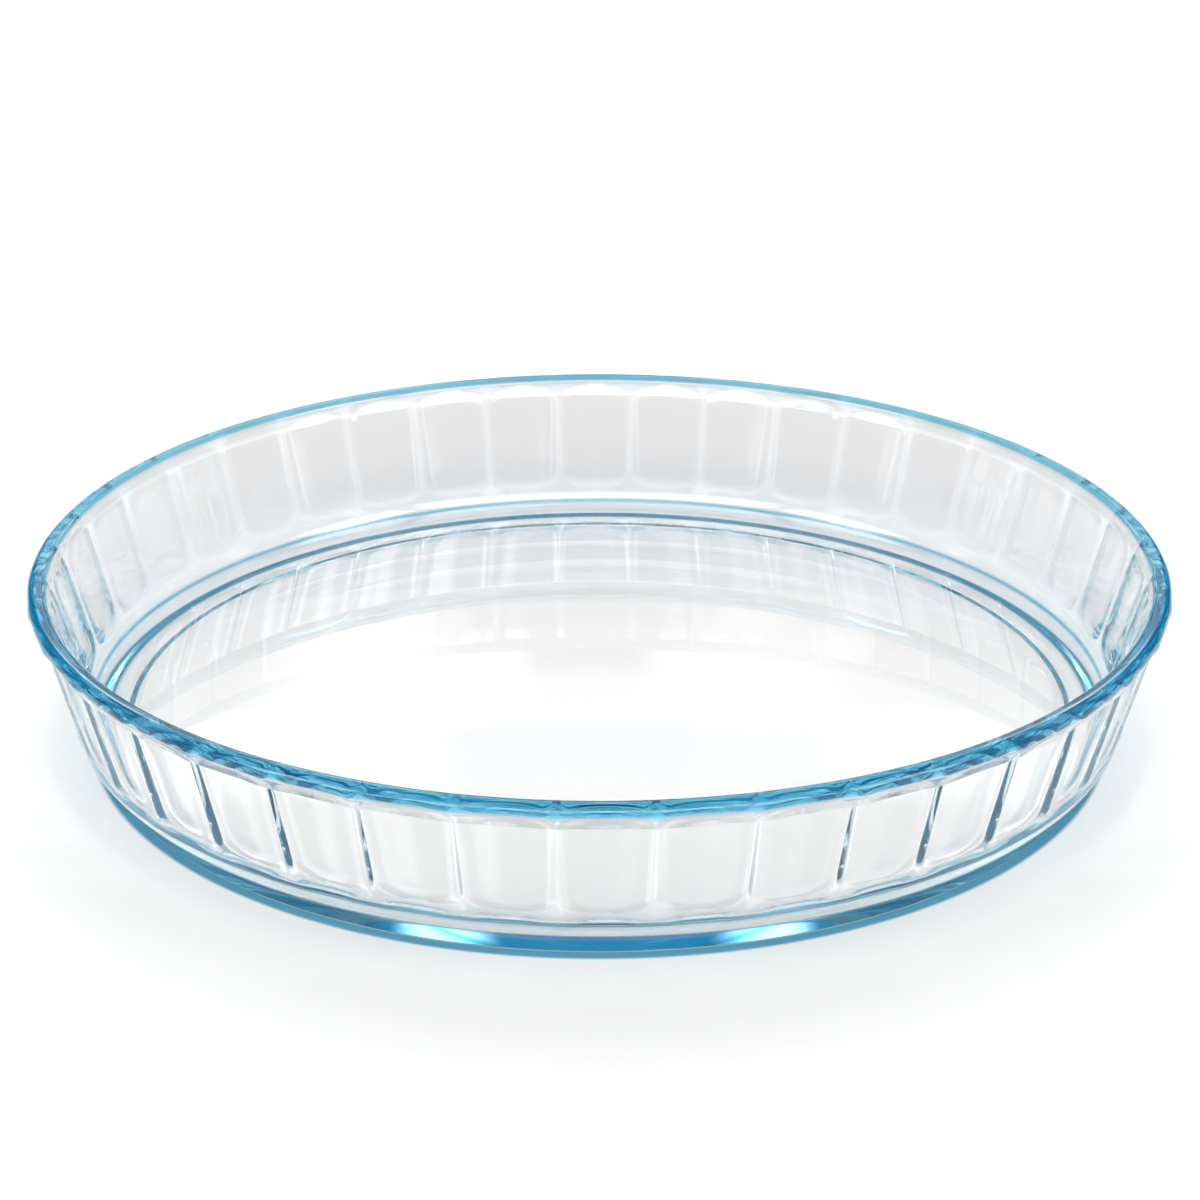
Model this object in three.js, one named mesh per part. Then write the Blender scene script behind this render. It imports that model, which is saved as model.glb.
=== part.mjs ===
// A round fluted flan dish, pressed in one piece of clear glass: a flat base on a low foot ring, a rounded heel,
// a leaning wall with flutes all the way round, and a rounded bead for a rim.
// Millimetres, +Z up, origin in the middle of the plane that the dish stands on.
import * as THREE from "three";

// Overall sizes
const RIM_DIAMETER = 280; // across the outside of the rim bead
const HEIGHT = 42.5; // from the foot plane to the top of the rim

// Base
const FLOOR_HEIGHT = 6.2; // inside floor above the foot plane
const FOOT_RING_WIDTH = 6; // flat ring that the dish stands on
const FOOT_RECESS = 0.5; // lift of the middle of the base above the ring
const RECESS_SLOPE = 1.5; // run of the slope from the ring up to the recess
const HEEL_RUN = 5.4; // rounded edge from the foot ring to the wall, across
const HEEL_RISE = 7; // and the same edge, up
const COVE_RADIUS = 7; // inside corner between the floor and the wall

// Wall
const WALL_THICKNESS = 4.4; // across, at a rib
const WALL_LEAN = 15.3; // degrees from upright

// Rim bead
const BEAD_WIDTH = 4.8; // across the top of the rim
const BEAD_HEIGHT = 6; // from the top of the rim down to the wall below the bead
const BEAD_SLOPE = 3.2; // height of the bead's sloping underside
const BEAD_OVERHANG = 2; // how far the bead stands out from the wall
const BEAD_ROUND = 2.2; // radius of the bead's two upper edges

// Flutes: each is a hollow panel outside and a raised pad inside, with a rib between one and the next
const FLUTE_COUNT = 40;
const RIB_WIDTH = 5.2; // from the edge of one panel to the edge of the next
const PANEL_DEPTH = 0.6; // depth of the outside panel
const PANEL_BOTTOM = 11.4; // lower end of the outside panel above the foot plane
const PANEL_MARGIN = 6.7; // top of the rim down to the outside panel
const PAD_HEIGHT = 1.1; // how far the inside pad stands out from the wall
const PAD_MARGIN = 2.3; // top of the rim down to the inside pad
const FLUTE_CROWN = 0.3; // extra press in the middle of a flute
const FLUTE_END = 4; // length of the rounded lower and upper ends of a flute

const GLASS_COLOUR = 0xd6ecf2;
const GLASS_ROUGHNESS = 0.04;
const GLASS_OPACITY = 0.35;

const QUARTER_TURN = Math.PI / 2;
const rimRadius = RIM_DIAMETER / 2;
const leanAngle = THREE.MathUtils.degToRad(WALL_LEAN);
const beadFoot = HEIGHT - BEAD_HEIGHT;

// Radius of the wall's outside, and of its inside, at a height.
const outerAt = (z) => rimRadius - BEAD_OVERHANG - (beadFoot - z) * Math.tan(leanAngle);
const innerAt = (z) => outerAt(z) - WALL_THICKNESS;

// One ring of the section: its radius, its height, and how far a flute presses it inwards.
const ring = (radius, z, press = 0) => ({ radius, z, press });

// Rings along an arc of the section, from one angle to another.
function arcRings(centreRadius, centreZ, across, up, from, to, steps) {
  const arc = new THREE.EllipseCurve(centreRadius, centreZ, across, up, from, to, to < from);
  return arc.getPoints(steps).map((point) => ring(point.x, point.y));
}

// Rings of the fluted stretch of a wall, from its lower end to its upper end.
function fluteRings(bottom, top, depth, radiusAt) {
  const halfEnd = FLUTE_END / 2;
  const partDepth = depth * Math.sin(QUARTER_TURN / 2);
  return [
    ring(radiusAt(bottom), bottom),
    ring(radiusAt(bottom + halfEnd), bottom + halfEnd, partDepth),
    ring(radiusAt(bottom + FLUTE_END), bottom + FLUTE_END, depth),
    ring(radiusAt(top - FLUTE_END), top - FLUTE_END, depth),
    ring(radiusAt(top - halfEnd), top - halfEnd, partDepth),
    ring(radiusAt(top), top),
  ];
}

// The underside: the recess, the foot ring, then the heel up to the wall.
function baseRings() {
  const footRadius = outerAt(HEEL_RISE) - HEEL_RUN;
  const footInner = footRadius - FOOT_RING_WIDTH;
  return [
    ring(0, FOOT_RECESS),
    ring(footInner - RECESS_SLOPE, FOOT_RECESS),
    ring(footInner, 0),
    ...arcRings(footRadius, HEEL_RISE, HEEL_RUN, HEEL_RISE, -QUARTER_TURN, 0, 3),
  ];
}

// The bead, from its underside outside, over the top, to its inner face.
function rimRings() {
  const round = Math.min(BEAD_ROUND, BEAD_WIDTH * 0.45);
  const roundZ = HEIGHT - round;
  const innerEdge = rimRadius - BEAD_WIDTH;
  return [
    ring(outerAt(beadFoot), beadFoot),
    ring(rimRadius, beadFoot + BEAD_SLOPE),
    ...arcRings(rimRadius - round, roundZ, round, round, 0, QUARTER_TURN, 2),
    ...arcRings(innerEdge + round, roundZ, round, round, QUARTER_TURN, Math.PI, 2),
  ];
}

// The inside: the padded wall from its top down, the cove, and the floor to the middle.
function insideRings() {
  const coveTop = FLOOR_HEIGHT + COVE_RADIUS * (1 - Math.sin(leanAngle));
  const coveCentre = innerAt(coveTop) - COVE_RADIUS * Math.cos(leanAngle);
  const coveZ = FLOOR_HEIGHT + COVE_RADIUS;
  const pads = fluteRings(coveTop, HEIGHT - PAD_MARGIN, PAD_HEIGHT, innerAt).reverse();
  const cove = arcRings(coveCentre, coveZ, COVE_RADIUS, COVE_RADIUS, -leanAngle, -QUARTER_TURN, 3);
  return [...pads, ...cove.slice(1), ring(0, FLOOR_HEIGHT)];
}

// The dish's whole section, from the axis underneath round to the axis above.
const section = [
  ...baseRings(),
  ...fluteRings(PANEL_BOTTOM, HEIGHT - PANEL_MARGIN, PANEL_DEPTH, outerAt),
  ...rimRings(),
  ...insideRings(),
];

// Columns of one flute: the rib, the near edge of the panel, its middle, and its far edge.
const pitch = (2 * Math.PI) / FLUTE_COUNT;
const edgeAngle = Math.asin(RIB_WIDTH / 2 / rimRadius);
const crownShare = 1 + FLUTE_CROWN / PAD_HEIGHT;
const fluteColumns = [
  { angle: 0, share: 0 },
  { angle: edgeAngle, share: 1 },
  { angle: pitch / 2, share: crownShare },
  { angle: pitch - edgeAngle, share: 1 },
];

// Turns the section about +Z and presses the flutes into it. The middle of one panel faces -Y.
function dishGeometry() {
  const columnCount = FLUTE_COUNT * fluteColumns.length;
  const outline = section.map(({ radius, z }) => new THREE.Vector2(radius, z));
  const geometry = new THREE.LatheGeometry(outline, columnCount);
  const position = geometry.getAttribute("position");
  for (let column = 0; column <= columnCount; column++) {
    const { angle, share } = fluteColumns[column % fluteColumns.length];
    const flute = Math.floor(column / fluteColumns.length);
    const turn = (flute - 0.5) * pitch + angle;
    section.forEach(({ radius, z, press }, row) => {
      const pressed = radius - press * share;
      const vertex = column * section.length + row;
      position.setXYZ(vertex, pressed * Math.sin(turn), -pressed * Math.cos(turn), z);
    });
  }
  geometry.computeVertexNormals();
  return geometry;
}

const glass = new THREE.MeshStandardMaterial({
  color: GLASS_COLOUR,
  roughness: GLASS_ROUGHNESS,
  metalness: 0,
  transparent: true,
  opacity: GLASS_OPACITY,
});

const flanDish = new THREE.Group();
const dish = new THREE.Mesh(dishGeometry(), glass);
dish.name = "dish";
flanDish.add(dish);

export default flanDish;
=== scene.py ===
"""Looks of a round fluted flan dish of clear pressed glass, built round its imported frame.

The dish is one piece of glass. Its section is spun about +Z and the flutes are pressed into the wall.
The glass, the pale floor, the studio dome and the camera follow. Everything is in metres, in the frame's
own axes.
"""

from __future__ import annotations

import logging
import math
from collections.abc import Callable
from dataclasses import dataclass, replace
from enum import Enum

import bmesh
import bpy
from mathutils import Matrix, Vector

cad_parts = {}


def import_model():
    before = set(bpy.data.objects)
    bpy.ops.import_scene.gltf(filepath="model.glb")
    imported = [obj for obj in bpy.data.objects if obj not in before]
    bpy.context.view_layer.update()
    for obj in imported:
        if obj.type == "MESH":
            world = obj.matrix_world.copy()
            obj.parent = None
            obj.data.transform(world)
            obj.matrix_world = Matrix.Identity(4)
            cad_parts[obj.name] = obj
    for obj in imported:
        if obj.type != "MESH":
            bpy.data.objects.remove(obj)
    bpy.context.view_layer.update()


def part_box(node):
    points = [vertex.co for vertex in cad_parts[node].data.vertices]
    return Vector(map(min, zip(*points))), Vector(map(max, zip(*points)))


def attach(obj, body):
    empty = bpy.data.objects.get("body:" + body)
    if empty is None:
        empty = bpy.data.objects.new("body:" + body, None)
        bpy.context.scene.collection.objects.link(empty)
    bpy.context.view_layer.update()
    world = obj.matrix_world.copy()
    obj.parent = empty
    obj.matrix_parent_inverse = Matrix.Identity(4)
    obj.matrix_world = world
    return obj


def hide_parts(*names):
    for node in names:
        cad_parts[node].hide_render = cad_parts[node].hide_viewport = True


LOG = logging.getLogger("flan_dish")
MM = 0.001
DISH_NODE = "dish"
DISH_BODY = "root"
FLUTE_COUNT = 40
Colour = tuple[float, float, float]


class ShaderTree:
    """A node tree with short ways to add and join nodes."""

    def __init__(self, tree: bpy.types.NodeTree) -> None:
        """Start from an empty tree.

        Args:
            tree: The node tree of a material or a world.
        """
        self.tree = tree
        self.tree.nodes.clear()

    def add(self, kind: str, **settings: object) -> bpy.types.Node:
        """Add a node.

        Args:
            kind: The node's type name.
            settings: Properties to set on the node.

        Returns:
            The new node.
        """
        node = self.tree.nodes.new(kind)
        for name, value in settings.items():
            setattr(node, name, value)
        return node

    def feed(self, socket: bpy.types.NodeSocket, source: object) -> None:
        """Link an output to a socket, or set the socket's own value.

        Args:
            socket: The input to fill.
            source: An output socket, a number or a colour.
        """
        if isinstance(source, bpy.types.NodeSocket):
            self.tree.links.new(source, socket)
        else:
            socket.default_value = source

    def math(self, operation: str, *values: object) -> bpy.types.NodeSocket:
        """Work out a number.

        Args:
            operation: The Math node's operation.
            values: Its inputs, each an output socket or a number.

        Returns:
            The result's socket.
        """
        node = self.add("ShaderNodeMath", operation=operation)
        for socket, value in zip(node.inputs, values):
            self.feed(socket, value)
        return node.outputs[0]

    def length(self, place: bpy.types.NodeSocket) -> bpy.types.NodeSocket:
        """Work out how long a vector is.

        Args:
            place: The vector's socket.

        Returns:
            The length's socket.
        """
        node = self.add("ShaderNodeVectorMath", operation="LENGTH")
        self.feed(node.inputs[0], place)
        return node.outputs["Value"]

    def ramp(self, value: object, low: float, high: float) -> bpy.types.NodeSocket:
        """Ease from 0 to 1 as a value goes from low to high.

        Args:
            value: The output socket to read.
            low: The value that gives 0.
            high: The value that gives 1.

        Returns:
            The eased share's socket.
        """
        node = self.add("ShaderNodeMapRange", interpolation_type="SMOOTHSTEP")
        self.feed(node.inputs["Value"], value)
        self.feed(node.inputs["From Min"], low)
        self.feed(node.inputs["From Max"], high)
        return node.outputs["Result"]

    def mix(self, share: object, below: object, above: object) -> bpy.types.NodeSocket:
        """Mix two colours.

        Args:
            share: How much of the upper colour shows.
            below: The lower colour, a socket or RGBA values.
            above: The upper colour, a socket or RGBA values.

        Returns:
            The mixed colour's socket.
        """
        node = self.add("ShaderNodeMix", data_type="RGBA")
        self.feed(node.inputs["Factor"], share)
        self.feed(node.inputs["A"], below)
        self.feed(node.inputs["B"], above)
        return next(out for out in node.outputs if out.type == "RGBA")


@dataclass(frozen=True)
class PressedGlass:
    """Clear fire-polished glass whose own faint blue shows along long paths through it.

    Its base colour carries painted light: painted blue on the lip, the rim's edge and round the heel stands
    in for the deeper blue of light running along inside the glass, and painted shade greys the collar under
    the rim and the thick middles of the pads.
    """

    name: str = "pressed_clear_glass"
    ior: float = 1.50
    roughness: float = 0.015
    specular_level: float = 0.25
    clear: Colour = (1.0, 1.0, 1.0)
    tint: Colour = (0.25, 0.73, 0.87)
    tint_density: float = 7.0
    ripple_size: float = 22.0 * MM
    ripple_height: float = 0.02 * MM
    ripple_detail: float = 1.0
    # Painted blue on the rim's edge, standing in for the deeper blue of light running along inside the
    # glass.
    rim_painted_blue: Colour = (0.03, 0.50, 0.88)
    rim_start: float = 178.8 * MM
    rim_end: float = 180.6 * MM
    # Painted dark blue band round the heel, standing in for light running along and reflected inside the
    # glass there.
    heel_painted_blue: Colour = (0.03, 0.37, 0.57)
    heel_radius: float = 126.5 * MM
    heel_height: float = 6.3 * MM
    heel_reach: float = 1.1 * MM
    # Painted blue on the lip, as on the rim's edge.
    lip_painted_blue: Colour = (0.06, 0.42, 0.64)
    lip_start: float = 41.2 * MM
    lip_end: float = 42.1 * MM
    # Painted shade: the pads' middles are greyed to stand in for the shaded table seen through the wall.
    pad_shade: Colour = (0.935, 0.925, 0.92)
    pad_low: float = 17.5 * MM
    pad_high: float = 35.0 * MM
    pad_end: float = 5.0 * MM
    pad_squareness: float = 3.0
    pad_middle: float = 0.76
    pad_edge: float = 1.02
    # Painted shade: the collar under the rim is greyed to darken the band seen through it.
    collar_shade: Colour = (0.70, 0.70, 0.71)
    collar_start: float = 38.4 * MM
    collar_end: float = 39.8 * MM

    def material(self) -> bpy.types.Material:
        """Build the glass.

        Returns:
            The new material.
        """
        made = bpy.data.materials.new(self.name)
        made.use_nodes = True
        tree = ShaderTree(made.node_tree)
        place = tree.add("ShaderNodeTexCoord").outputs["Object"]
        surface = tree.add("ShaderNodeBsdfPrincipled")
        surface.inputs["IOR"].default_value = self.ior
        surface.inputs["Roughness"].default_value = self.roughness
        surface.inputs["Specular IOR Level"].default_value = self.specular_level
        surface.inputs["Transmission Weight"].default_value = 1.0
        tree.feed(surface.inputs["Base Color"], self.edge_colour(tree, place))
        tree.feed(surface.inputs["Normal"], self.ripple(tree, place))
        depth = tree.add("ShaderNodeVolumeAbsorption")
        depth.inputs["Color"].default_value = (*self.tint, 1.0)
        depth.inputs["Density"].default_value = self.tint_density
        out = tree.add("ShaderNodeOutputMaterial")
        tree.feed(out.inputs["Surface"], surface.outputs["BSDF"])
        tree.feed(out.inputs["Volume"], depth.outputs["Volume"])
        return made

    def ripple(self, tree: ShaderTree, place: bpy.types.NodeSocket) -> bpy.types.NodeSocket:
        """The faint waviness that fire-polishing leaves.

        Args:
            tree: The material's node tree.
            place: The object coordinates.

        Returns:
            The normal's socket.
        """
        wave = tree.add("ShaderNodeTexNoise")
        wave.inputs["Scale"].default_value = 1.0 / self.ripple_size
        wave.inputs["Detail"].default_value = self.ripple_detail
        tree.feed(wave.inputs["Vector"], place)
        bump = tree.add("ShaderNodeBump")
        bump.inputs["Distance"].default_value = self.ripple_height
        tree.feed(bump.inputs["Height"], wave.outputs["Fac"])
        return bump.outputs["Normal"]

    def edge_colour(self, tree: ShaderTree, place: bpy.types.NodeSocket) -> bpy.types.NodeSocket:
        """Clear glass with painted shade greying the pads and the collar, and painted blue on the lip, the
        rim's edge and the heel standing in for light running along inside the glass.

        Args:
            tree: The material's node tree.
            place: The object coordinates.

        Returns:
            The colour's socket.
        """
        split = tree.add("ShaderNodeSeparateXYZ")
        tree.feed(split.inputs[0], place)
        east, north, height = split.outputs
        squares = tree.math("ADD", tree.math("MULTIPLY", east, east), tree.math("MULTIPLY", north, north))
        radius = tree.math("SQRT", squares)
        away = tree.math("ABSOLUTE", tree.math("SUBTRACT", height, self.heel_height))
        outside = tree.math("GREATER_THAN", radius, self.heel_radius)
        # Masks of the painted shade on the pads and the collar.
        pad = self.pad_shade_share(tree, self.rib_nearness(tree, east, north), height)
        collar = tree.ramp(height, self.collar_start, self.collar_end)
        # Masks of the painted blue on the lip, the rim's edge and the heel.
        lip = tree.ramp(height, self.lip_start, self.lip_end)
        rim = tree.ramp(tree.math("ADD", radius, height), self.rim_start, self.rim_end)
        heel = tree.math("MULTIPLY", tree.ramp(away, self.heel_reach, 0.0), outside)
        # Painted shade greys the pads, then the collar; painted blue follows on the lip, the rim's edge and
        # the heel.
        colour = tree.mix(pad, (*self.clear, 1.0), (*self.pad_shade, 1.0))
        for share, shade in (
            (collar, self.collar_shade),
            (lip, self.lip_painted_blue),
            (rim, self.rim_painted_blue),
            (heel, self.heel_painted_blue),
        ):
            colour = tree.mix(share, colour, (*shade, 1.0))
        return colour

    def rib_nearness(
        self, tree: ShaderTree, east: bpy.types.NodeSocket, north: bpy.types.NodeSocket
    ) -> bpy.types.NodeSocket:
        """How near a point lies to a rib between two flutes.

        Args:
            tree: The material's node tree.
            east: The point's X.
            north: The point's Y.

        Returns:
            The socket of a share, 0 on a flute's middle line and 1 on a rib.
        """
        turn = tree.math("ARCTAN2", east, tree.math("MULTIPLY", north, -1.0))
        flutes = tree.math("MULTIPLY", turn, FLUTE_COUNT / (2 * math.pi))
        off = tree.math("ABSOLUTE", tree.math("WRAP", flutes, 0.5, -0.5))
        return tree.math("MULTIPLY", off, 2.0)

    def pad_shade_share(
        self, tree: ShaderTree, beside: bpy.types.NodeSocket, height: bpy.types.NodeSocket
    ) -> bpy.types.NodeSocket:
        """How far a point lies in the thick middle of a flute's pad, where painted shade greys the glass.

        Args:
            tree: The material's node tree.
            beside: The point's nearness to a rib.
            height: The point's Z.

        Returns:
            The socket of a share, 1 in the middle of a pad and 0 at the ribs.
        """
        below = tree.math("SUBTRACT", self.pad_low, height)
        above = tree.math("SUBTRACT", height, self.pad_high)
        beyond = tree.math("MAXIMUM", tree.math("MAXIMUM", below, above), 0.0)
        end = tree.math("DIVIDE", beyond, self.pad_end)
        powers = [tree.math("POWER", part, self.pad_squareness) for part in (beside, end)]
        spread = tree.math("POWER", tree.math("ADD", *powers), 1.0 / self.pad_squareness)
        return tree.ramp(spread, self.pad_edge, self.pad_middle)


@dataclass(frozen=True)
class FloorPatch:
    """A soft round patch of shade on the table, with its middle on the Y axis."""

    shade: Colour
    radius: float
    blur: float
    middle: float

    def share(self, tree: ShaderTree, place: bpy.types.NodeSocket) -> bpy.types.NodeSocket:
        """Where the patch lies.

        Args:
            tree: The floor's node tree.
            place: The object coordinates.

        Returns:
            The socket of a share, 1 in the patch and 0 outside it.
        """
        moved = tree.add("ShaderNodeVectorMath", operation="ADD")
        tree.feed(moved.inputs[0], place)
        moved.inputs[1].default_value = (0.0, -self.middle, 0.0)
        apart = tree.length(moved.outputs["Vector"])
        return tree.ramp(apart, self.radius + self.blur, self.radius - self.blur)


@dataclass(frozen=True)
class PaleFloor:
    """A plain white studio table with a soft gloss.

    It is painted warmer and brighter under the near side of the dish and darker towards its far side,
    painted shadows grey it round and behind the dish, and a painted dark blue contact shadow lies in the
    narrow gap under the heel.
    """

    radius: float = 6.0
    segments: int = 64
    drop: float = 0.2 * MM
    shade: Colour = (0.93, 0.93, 0.93)
    # Painted light under the dish: brighter near, darker far, and warmed to offset the blue that light picks
    # up through the glass.
    under_near: Colour = (1.0, 0.95, 0.93)
    under_far: Colour = (0.90, 0.83, 0.81)
    under_run: float = 100.0 * MM
    # Painted soft shadow of the dish on the table round it.
    round_shadow: FloorPatch = FloorPatch((0.58, 0.575, 0.57), radius=122.0 * MM, blur=46.0 * MM, middle=-36.0 * MM)
    # Painted shadow of the dish on the table behind it, seen through the back wall.
    behind: FloorPatch = FloorPatch((0.82, 0.81, 0.815), radius=152.0 * MM, blur=8.0 * MM, middle=104.0 * MM)
    # Painted dark blue contact shadow in the narrow gap under the heel, which the heel also shows as a
    # painted reflection.
    gap_shade: Colour = (0.06, 0.22, 0.32)
    gap_radius: float = 125.1 * MM
    gap_reach: float = 2.3 * MM
    gap_core: float = 0.92 * MM
    roughness: float = 0.4
    gloss: float = 0.15

    def material(self) -> bpy.types.Material:
        """Build the floor's finish.

        Returns:
            The new material.
        """
        made = bpy.data.materials.new("pale_floor")
        made.use_nodes = True
        tree = ShaderTree(made.node_tree)
        surface = tree.add("ShaderNodeBsdfPrincipled")
        place = tree.add("ShaderNodeTexCoord").outputs["Object"]
        tree.feed(surface.inputs["Base Color"], self.colour(tree, place))
        surface.inputs["Roughness"].default_value = self.roughness
        surface.inputs["Specular IOR Level"].default_value = self.gloss
        out = tree.add("ShaderNodeOutputMaterial")
        tree.feed(out.inputs["Surface"], surface.outputs["BSDF"])
        return made

    def colour(self, tree: ShaderTree, place: bpy.types.NodeSocket) -> bpy.types.NodeSocket:
        """The table's white with the painted shadows and painted shading that the dish leaves on it.

        Args:
            tree: The floor's node tree.
            place: The object coordinates.

        Returns:
            The colour's socket.
        """
        away = tree.length(place)
        outside = tree.ramp(away, self.gap_radius - self.gap_reach, self.gap_radius)
        split = tree.add("ShaderNodeSeparateXYZ")
        tree.feed(split.inputs[0], place)
        # Painted shading under the dish, from bright and warm in front to darker behind.
        far = tree.ramp(split.outputs["Y"], -self.under_run, self.under_run)
        under = tree.mix(far, (*self.under_near, 1.0), (*self.under_far, 1.0))
        shaded = tree.mix(outside, under, (*self.shade, 1.0))
        # Painted shadows round and behind the dish.
        for patch in (self.round_shadow, self.behind):
            share = tree.math("MULTIPLY", patch.share(tree, place), outside)
            shaded = tree.mix(share, shaded, (*patch.shade, 1.0))
        # Painted contact shadow in the gap under the heel.
        off = tree.math("ABSOLUTE", tree.math("SUBTRACT", away, self.gap_radius))
        gap = tree.ramp(off, self.gap_reach, self.gap_core)
        return tree.mix(gap, shaded, (*self.gap_shade, 1.0))

    def build(self) -> bpy.types.Object:
        """Lay the floor just under the foot ring.

        Returns:
            The floor object.
        """
        form = bmesh.new()
        bmesh.ops.create_circle(form, cap_ends=True, segments=self.segments, radius=self.radius)
        bmesh.ops.translate(form, verts=form.verts, vec=(0.0, 0.0, -self.drop))
        mesh = bpy.data.meshes.new("floor")
        form.to_mesh(mesh)
        form.free()
        mesh.materials.append(self.material())
        floor = bpy.data.objects.new("floor", mesh)
        bpy.context.scene.collection.objects.link(floor)
        return floor


@dataclass(frozen=True)
class Corner:
    """A corner of the dish's section, with its rounding and the rows round it."""

    radius: float
    z: float
    rounding: float = 0.0
    rows: int = 6

    def point(self) -> Vector:
        """The corner as a vector of radius and height."""
        return Vector((self.radius, self.z))

    def rounded(self, before: Corner, after: Corner) -> list[Vector]:
        """The corner's arc between its neighbours, or the bare corner.

        Args:
            before: The corner before this one.
            after: The corner after this one.

        Returns:
            Points of radius and height along the arc.
        """
        at = self.point()
        if not self.rounding:
            return [at]
        back = (before.point() - at).normalized()
        ahead = (after.point() - at).normalized()
        half_angle = back.angle(ahead) / 2
        centre = at + (back + ahead).normalized() * (self.rounding / math.sin(half_angle))
        reach = self.rounding / math.tan(half_angle)
        arm = at + back * reach - centre
        sweep = arm.angle_signed(at + ahead * reach - centre)
        arms = [Matrix.Rotation(-sweep * row / self.rows, 2) @ arm for row in range(self.rows + 1)]
        return [centre + turned for turned in arms]


@dataclass(frozen=True)
class FluteForm:
    """The rounded tablet that one flute presses into a face of the wall.

    A fullness of 2 gives an even curve across, and a higher one a flatter middle with steeper edges. A
    squareness of 2 has half-round ends and a higher one squarer ends. The depth changes evenly up the flute.
    """

    depth: float
    top_depth: float
    gap: float
    fullness: float
    squareness: float
    bottom: float
    bottom_run: float
    top: float
    top_run: float

    def press(self, across: float, half_pitch: float, z: float) -> float:
        """How far the flute presses a point of the wall towards the axis.

        Args:
            across: Distance along the wall from the flute's middle line.
            half_pitch: Half the flute's pitch at that height.
            z: The point's height.

        Returns:
            The press in metres, 0 outside the flute.
        """
        beside = abs(across) / (half_pitch - self.gap / 2)
        below = (self.bottom + self.bottom_run - z) / self.bottom_run
        above = (z - self.top + self.top_run) / self.top_run
        end = max(below, above, 0.0)
        spread = (beside**self.squareness + end**self.squareness) ** (1.0 / self.squareness)
        climb = min(1.0, max(0.0, (z - self.bottom) / (self.top - self.bottom)))
        depth = self.depth + (self.top_depth - self.depth) * climb
        return depth * max(0.0, 1.0 - spread**self.fullness)


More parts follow.
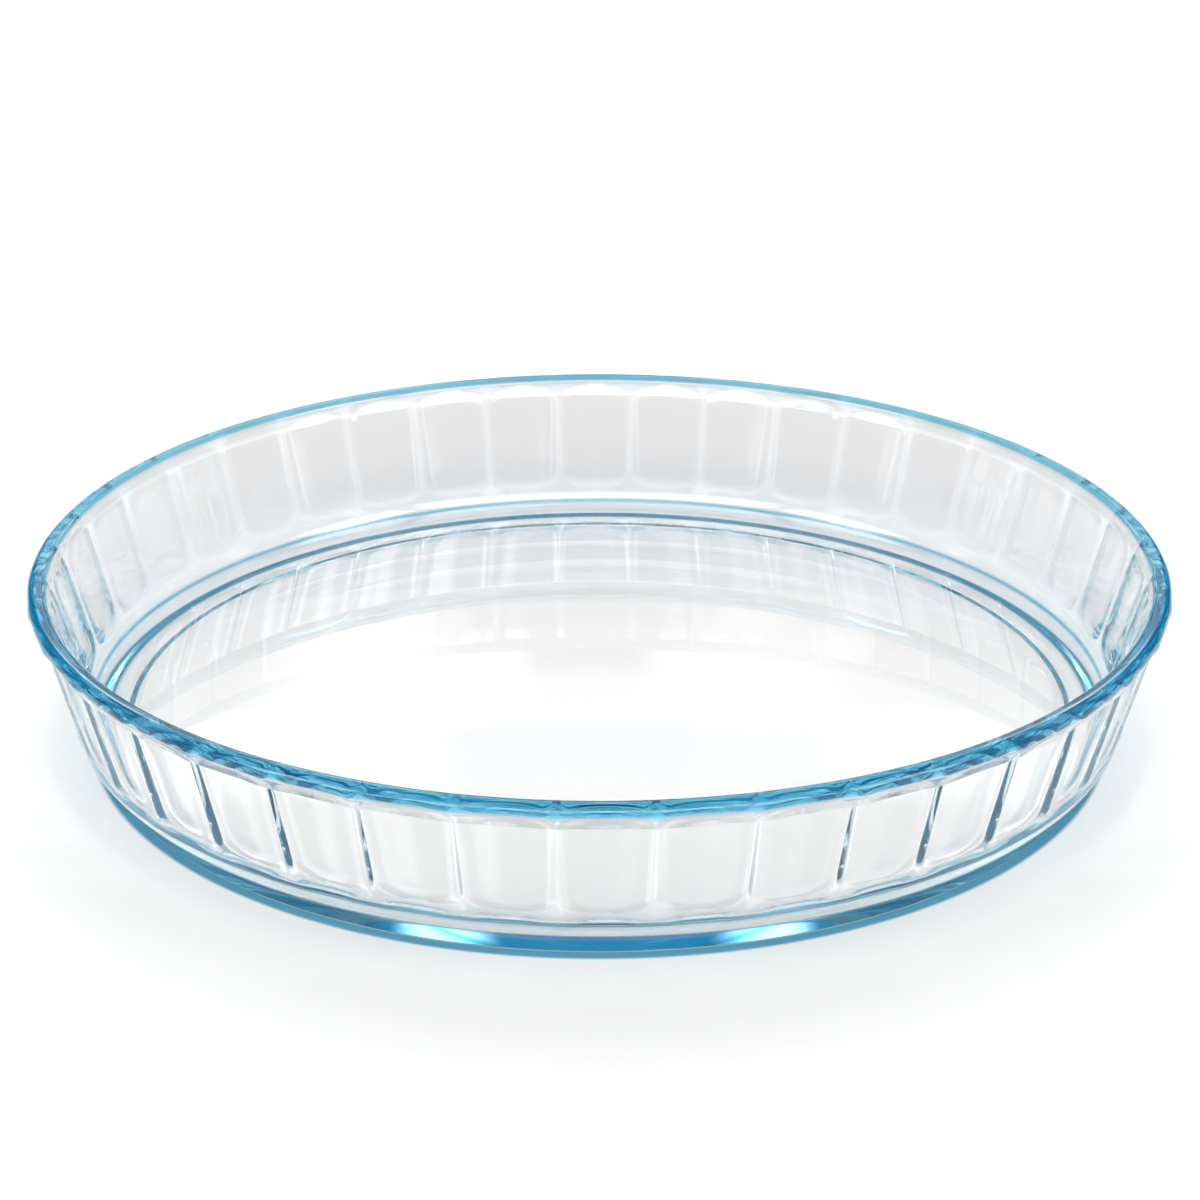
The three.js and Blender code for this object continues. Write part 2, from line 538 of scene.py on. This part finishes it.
@dataclass
class FlanDish:
    """The glass dish: a flat base on a foot ring, a fluted leaning wall and a rim bead."""

    rim_radius: float
    height: float
    floor_height: float = 6.2 * MM
    foot_ring_width: float = 6.0 * MM
    foot_recess: float = 0.5 * MM
    recess_slope: float = 1.5 * MM
    recess_round: float = 1.0 * MM
    recess_rows: int = 3
    heel_run: float = 6.0 * MM
    heel_rise: float = 7.9 * MM
    heel_round: float = 5.0 * MM
    foot_round: float = 1.6 * MM
    cove_round: float = 7.0 * MM
    cove_rows: int = 10
    wall_thickness: float = 4.4 * MM
    wall_lean: float = math.radians(15.3)
    panel_rows: int = 14
    pad_rows: int = 24
    bead_height: float = 6.0 * MM
    bead_slope: float = 3.2 * MM
    bead_overhang: float = 2.0 * MM
    bead_foot_round: float = 1.0 * MM
    bead_foot_rows: int = 3
    bead_side_round: float = 1.4 * MM
    bead_side_rows: int = 4
    bead_round: float = 2.2 * MM
    lip_round: float = 1.8 * MM
    columns_per_flute: int = 24
    rib_gather: float = 0.7
    axis_reach: float = 1.0 * MM
    weld: float = 0.005 * MM
    panel: FluteForm = FluteForm(
        depth=0.8 * MM,
        top_depth=0.6 * MM,
        gap=0.3 * MM,
        fullness=2.0,
        squareness=4.0,
        bottom=11.4 * MM,
        bottom_run=7.0 * MM,
        top=41.6 * MM,
        top_run=5.0 * MM,
    )
    pad: FluteForm = FluteForm(
        depth=0.85 * MM,
        top_depth=0.5 * MM,
        gap=0.25 * MM,
        fullness=5.0,
        squareness=3.0,
        bottom=12.0 * MM,
        bottom_run=6.0 * MM,
        top=40.2 * MM,
        top_run=6.0 * MM,
    )

    @classmethod
    def from_frame(cls) -> FlanDish:
        """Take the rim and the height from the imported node."""
        lowest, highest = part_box(DISH_NODE)
        return cls(rim_radius=highest.x, height=highest.z - lowest.z)

    def outer_at(self, z: float) -> float:
        """Radius of the wall's plain outside at a height."""
        bead_foot = self.height - self.bead_height
        return self.rim_radius - self.bead_overhang - (bead_foot - z) * math.tan(self.wall_lean)

    def inner_at(self, z: float) -> float:
        """Radius of the wall's plain inside at a height."""
        return self.outer_at(z) - self.wall_thickness

    def corners(self) -> list[Corner]:
        """The section's corners, from the axis underneath round to the axis above.

        Returns:
            The corners in order.
        """
        bead_foot = self.height - self.bead_height
        bead_side = bead_foot + self.bead_slope
        panel_top = bead_foot - self.bead_round / 2
        heel = self.outer_at(self.heel_rise)
        foot = heel - self.heel_run
        ring_inner = foot - self.foot_ring_width
        recess = ring_inner - self.recess_slope
        return [
            Corner(0.0, self.foot_recess),
            Corner(recess, self.foot_recess, self.recess_round, self.recess_rows),
            Corner(ring_inner, 0.0, self.recess_round, self.recess_rows),
            Corner(foot, 0.0, self.foot_round),
            Corner(heel, self.heel_rise, self.heel_round),
            *self.wall_rows(self.panel.bottom, panel_top, self.panel_rows, self.outer_at),
            Corner(self.outer_at(bead_foot), bead_foot, self.bead_foot_round, self.bead_foot_rows),
            Corner(self.rim_radius, bead_side, self.bead_side_round, self.bead_side_rows),
            Corner(self.rim_radius, self.height, self.bead_round),
            Corner(self.inner_at(self.height), self.height, self.lip_round),
            *reversed(self.wall_rows(self.pad.bottom, self.pad.top, self.pad_rows, self.inner_at)),
            Corner(self.inner_at(self.floor_height), self.floor_height, self.cove_round, self.cove_rows),
            Corner(0.0, self.floor_height),
        ]

    @staticmethod
    def wall_rows(
        bottom: float, top: float, rows: int, radius_at: Callable[[float], float]
    ) -> list[Corner]:
        """Rows up a fluted face, closer together at its two ends.

        Args:
            bottom: Height of the lowest row.
            top: Height of the highest row.
            rows: How many bands of faces to cut.
            radius_at: The face's plain radius at a height.

        Returns:
            Corners with no rounding, from the lowest up.
        """
        middle = (bottom + top) / 2
        half = (top - bottom) / 2
        heights = [middle - half * math.cos(math.pi * row / rows) for row in range(rows + 1)]
        return [Corner(radius_at(z), z) for z in heights]

    def section_points(self) -> list[Vector]:
        """The section with its corners rounded and its fluted stretches cut into rows.

        Returns:
            Points of radius and height, from axis to axis.
        """
        corners = self.corners()
        points = [corners[0].point()]
        for before, corner, after in zip(corners, corners[1:], corners[2:]):
            points.extend(corner.rounded(before, after))
        points.append(corners[-1].point())
        return points

    def one_flute(self) -> bmesh.types.BMesh:
        """Spin the section through one flute's pitch, with the flute's middle at -Y, and press the flute.

        Returns:
            One slice of the dish, from rib to rib.
        """
        pitch = 2 * math.pi / FLUTE_COUNT
        form = bmesh.new()
        rows = [form.verts.new((0.0, -point.x, point.y)) for point in self.section_points()]
        for lower, upper in zip(rows, rows[1:]):
            form.edges.new((lower, upper))
        bmesh.ops.rotate(
            form, verts=form.verts, cent=(0.0, 0.0, 0.0), matrix=Matrix.Rotation(-pitch / 2, 3, "Z")
        )
        bmesh.ops.spin(
            form,
            geom=form.verts[:] + form.edges[:],
            cent=(0.0, 0.0, 0.0),
            axis=(0.0, 0.0, 1.0),
            angle=pitch,
            steps=self.columns_per_flute,
        )
        for vert in form.verts:
            self.press_point(vert, pitch)
        return form

    def press_point(self, vert: bmesh.types.BMVert, pitch: float) -> None:
        """Press a panel outside or a pad inside, and gather the columns at the ribs.

        Args:
            vert: A point of the slice.
            pitch: The flute's pitch as an angle.
        """
        radius = math.hypot(vert.co.x, vert.co.y)
        if radius < self.axis_reach:
            return
        share = math.atan2(vert.co.x, -vert.co.y) / pitch
        share += self.rib_gather * math.sin(2 * math.pi * share) / (2 * math.pi)
        middle = self.outer_at(vert.co.z) - self.wall_thickness / 2
        flute = self.panel if radius > middle else self.pad
        half_pitch = pitch * radius / 2
        radius -= flute.press(share * 2 * half_pitch, half_pitch, vert.co.z)
        vert.co.x = radius * math.sin(share * pitch)
        vert.co.y = -radius * math.cos(share * pitch)

    def whole_form(self) -> bmesh.types.BMesh:
        """Repeat the slice all the way round and join the copies.

        Returns:
            The closed dish with its faces pointing out.
        """
        form = self.one_flute()
        copies = FLUTE_COUNT - 1
        bmesh.ops.spin(
            form,
            geom=form.verts[:] + form.edges[:] + form.faces[:],
            cent=(0.0, 0.0, 0.0),
            axis=(0.0, 0.0, 1.0),
            angle=2 * math.pi * copies / FLUTE_COUNT,
            steps=copies,
            use_duplicate=True,
        )
        bmesh.ops.remove_doubles(form, verts=form.verts, dist=self.weld)
        bmesh.ops.recalc_face_normals(form, faces=form.faces)
        return form

    def build(self, glass: PressedGlass) -> bpy.types.Object:
        """Model the dish, dress it and set it in the frame.

        Args:
            glass: The finish of the whole dish.

        Returns:
            The finished piece.
        """
        form = self.whole_form()
        for face in form.faces:
            face.smooth = True
        mesh = bpy.data.meshes.new("glass_dish")
        form.to_mesh(mesh)
        form.free()
        mesh.materials.append(glass.material())
        piece = bpy.data.objects.new("glass_dish", mesh)
        bpy.context.scene.collection.objects.link(piece)
        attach(piece, DISH_BODY)
        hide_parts(DISH_NODE)
        return piece


class Facing(Enum):
    """The side of the studio that a panel stands on.

    Each holds the axes of the panel's across, up and outward, and the sign of its outward.
    """

    BACK = ("X", "Z", "Y", 1.0)
    FRONT = ("X", "Z", "Y", -1.0)
    LEFT = ("Y", "Z", "X", -1.0)
    RIGHT = ("Y", "Z", "X", 1.0)


@dataclass(frozen=True)
class SoftPanel:
    """A soft-edged light or dark card, placed by its slopes seen from the dish.

    The first slope is across over outward, the second is up over outward.
    """

    facing: Facing
    centre: tuple[float, float]
    half_size: tuple[float, float]
    blur: float
    colour: Colour
    fade: float = 0.05
    least_depth: float = 0.02

    def both_sides(self) -> tuple[SoftPanel, SoftPanel]:
        """The panel and its mirror image to the right.

        Returns:
            A left wall's panel with the right wall's, or a panel on the left with one on the right.
        """
        if self.facing is Facing.LEFT:
            return self, replace(self, facing=Facing.RIGHT)
        across, up = self.centre
        return self, replace(self, centre=(-across, up))

    def mask(self, tree: ShaderTree, parts: dict[str, bpy.types.NodeSocket]) -> bpy.types.NodeSocket:
        """Where the panel stands on the dome.

        Args:
            tree: The world's node tree.
            parts: The X, Y and Z of the direction looked at.

        Returns:
            The socket of a mask from 0 to 1.
        """
        across, upward, outward, side = self.facing.value
        depth = tree.math("MULTIPLY", parts[outward], side)
        held = tree.math("MAXIMUM", depth, self.least_depth)
        mask = tree.ramp(depth, 0.0, self.fade)
        for axis, middle, half in zip((across, upward), self.centre, self.half_size):
            slope = tree.math("DIVIDE", parts[axis], held)
            away = tree.math("ABSOLUTE", tree.math("SUBTRACT", slope, middle))
            mask = tree.math("MULTIPLY", mask, tree.ramp(away, half + self.blur, half - self.blur))
        return mask


def grey(level: float) -> Colour:
    """A neutral colour of one level."""
    return (level, level, level)


@dataclass(frozen=True)
class StudioDome:
    """A dim dome with bright boxes in front and at the sides, and a pale wall with dark cards behind."""

    zenith: Colour = (0.27, 0.265, 0.26)
    horizon: Colour = (0.05, 0.055, 0.06)
    climb_start: float = 0.15
    climb_end: float = 0.5
    back_wall: SoftPanel = SoftPanel(Facing.BACK, (0.0, 0.3), (0.33, 0.28), 0.05, grey(0.85))
    back_low: SoftPanel = SoftPanel(Facing.BACK, (0.0, 0.2), (0.33, 0.17), 0.06, (0.55, 0.55, 0.56))
    back_slot: SoftPanel = SoftPanel(Facing.BACK, (0.0, 0.24), (0.055, 0.16), 0.03, (0.05, 0.05, 0.06))
    blue_top: SoftPanel = SoftPanel(Facing.BACK, (0.0, 0.57), (0.4, 0.05), 0.01, (0.0, 0.35, 0.60))
    blue_side: SoftPanel = SoftPanel(Facing.BACK, (-1.2, 0.50), (0.84, 0.26), 0.03, (0.0, 0.11, 0.22))
    left_streak: SoftPanel = SoftPanel(Facing.BACK, (-0.062, 0.40), (0.024, 0.10), 0.015, grey(1.8))
    right_streak: SoftPanel = SoftPanel(Facing.BACK, (0.062, 0.40), (0.02, 0.10), 0.015, grey(1.2))
    heel_light: SoftPanel = SoftPanel(Facing.BACK, (-0.235, 0.55), (0.055, 0.07), 0.04, grey(4.4))
    front_box: SoftPanel = SoftPanel(Facing.FRONT, (0.0, 0.9), (1.0, 0.5), 0.08, grey(5.0))
    side_box: SoftPanel = SoftPanel(Facing.LEFT, (-0.5, 0.8), (0.32, 0.35), 0.08, grey(6.2))
    front_strip: SoftPanel = SoftPanel(Facing.FRONT, (-0.466, 0.2), (0.05, 0.2), 0.03, grey(1.8))
    near_strip: SoftPanel = SoftPanel(Facing.LEFT, (-0.62, 0.2), (0.06, 0.17), 0.03, grey(1.8))
    end_strip: SoftPanel = SoftPanel(Facing.LEFT, (0.035, 0.2), (0.06, 0.17), 0.03, grey(1.8))

    def panels(self) -> tuple[SoftPanel, ...]:
        """Every panel, each later one in front of the earlier ones.

        Returns:
            The panels in order.
        """
        return (
            self.back_wall,
            self.back_low,
            self.back_slot,
            self.blue_top,
            *self.blue_side.both_sides(),
            self.left_streak,
            self.right_streak,
            *self.heel_light.both_sides(),
            self.front_box,
            *self.side_box.both_sides(),
            *self.front_strip.both_sides(),
            *self.near_strip.both_sides(),
            *self.end_strip.both_sides(),
        )

    def build(self) -> None:
        """Make the world and its light."""
        world = bpy.data.worlds.new("studio_dome")
        world.use_nodes = True
        tree = ShaderTree(world.node_tree)
        place = tree.add("ShaderNodeTexCoord")
        split = tree.add("ShaderNodeSeparateXYZ")
        tree.feed(split.inputs[0], place.outputs["Generated"])
        parts = {axis: split.outputs[axis] for axis in "XYZ"}
        climb = tree.ramp(parts["Z"], self.climb_start, self.climb_end)
        light = tree.mix(climb, (*self.horizon, 1.0), (*self.zenith, 1.0))
        for panel in self.panels():
            light = tree.mix(panel.mask(tree, parts), light, (*panel.colour, 1.0))
        background = tree.add("ShaderNodeBackground")
        tree.feed(background.inputs["Color"], light)
        out = tree.add("ShaderNodeOutputWorld")
        tree.feed(out.inputs["Surface"], background.outputs["Background"])
        bpy.context.scene.world = world


@dataclass(frozen=True)
class PhotoCamera:
    """The photograph's viewpoint, found from the rim, the foot and the ribs."""

    sensor: float = 36.0
    lens: float = 91.74
    clip_start: float = 1.0 * MM
    distance: float = 761.7 * MM
    azimuth: float = math.radians(-0.61)
    elevation: float = math.radians(22.90)
    aim: tuple[float, float, float] = (0.13 * MM, 0.0, 29.96 * MM)

    def build(self) -> bpy.types.Object:
        """Place the camera and make it the scene's.

        Returns:
            The camera object.
        """
        data = bpy.data.cameras.new("photo_camera")
        data.sensor_width = self.sensor
        data.lens = self.lens
        data.clip_start = self.clip_start
        camera = bpy.data.objects.new("photo_camera", data)
        level = math.cos(self.elevation)
        east = math.sin(self.azimuth) * level
        south = math.cos(self.azimuth) * level
        back = Vector((east, -south, math.sin(self.elevation)))
        camera.location = Vector(self.aim) + back * self.distance
        camera.rotation_euler = (-back).to_track_quat("-Z", "Y").to_euler()
        bpy.context.scene.collection.objects.link(camera)
        bpy.context.scene.camera = camera
        return camera


@dataclass(frozen=True)
class RenderLook:
    """How the picture treats light: plain colours, and enough bounces for thick glass."""

    bounces: int = 32
    exposure: float = 0.0
    glossy_blur: float = 0.0

    def apply(self) -> None:
        """Set the scene's colour management and light paths."""
        scene = bpy.context.scene
        scene.view_settings.view_transform = "Standard"
        scene.view_settings.look = "None"
        scene.view_settings.exposure = self.exposure
        scene.cycles.max_bounces = self.bounces
        scene.cycles.transmission_bounces = self.bounces
        scene.cycles.glossy_bounces = self.bounces
        scene.cycles.blur_glossy = self.glossy_blur


def main() -> None:
    """Build the camera, the dish, the floor and the light in order."""
    logging.basicConfig(level=logging.INFO)
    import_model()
    PhotoCamera().build()
    dish = FlanDish.from_frame().build(PressedGlass())
    LOG.info("%s: %d faces on body %s", dish.name, len(dish.data.polygons), DISH_BODY)
    floor = PaleFloor().build()
    LOG.info("%s: stage", floor.name)
    StudioDome().build()
    RenderLook().apply()


if __name__ == "__main__":
    main()
